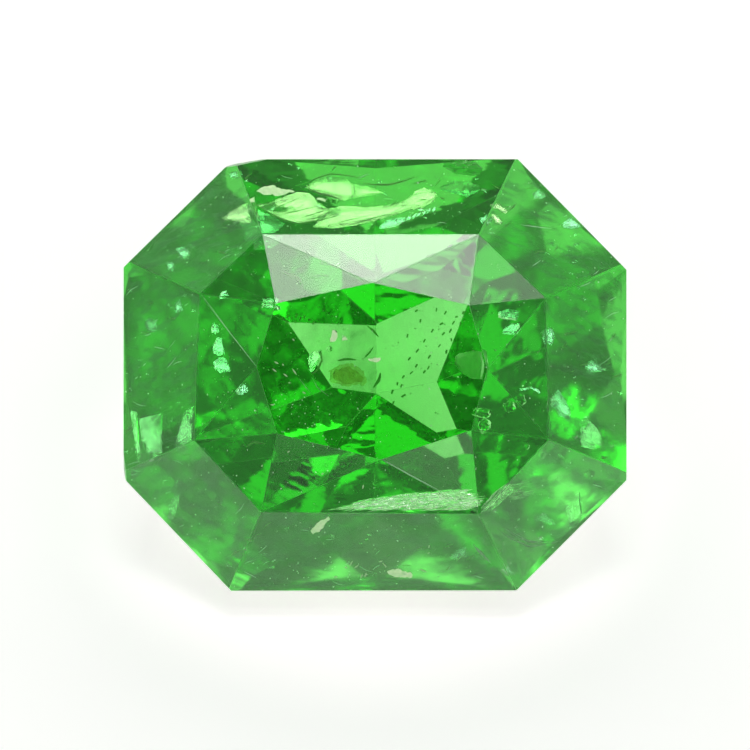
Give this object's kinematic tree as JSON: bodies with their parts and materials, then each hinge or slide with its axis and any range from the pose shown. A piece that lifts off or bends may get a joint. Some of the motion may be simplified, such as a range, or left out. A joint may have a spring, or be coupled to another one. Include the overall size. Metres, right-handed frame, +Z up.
{
  "type": "faceted tsavorite garnet",
  "caption": "Loose green garnet cut as a cut-cornered rectangle with a brilliant pavilion, laid on one pavilion facet; sets into jewellery or is shown loose.",
  "frame": {"origin": "centre of the plan bounding box, on the plane that the stone rests on", "axes": "+X along the stone's length, +Z up; the table faces up and towards -Y, 44 degrees from level"},
  "size_m": [0.0062, 0.0042, 0.0041],
  "materials": {
    "tsavorite": "polished facets, clear bright green, slightly included"
  },
  "bodies": {
    "root": {"tsavorite": "tsavorite"}
  },
  "joints": []
}
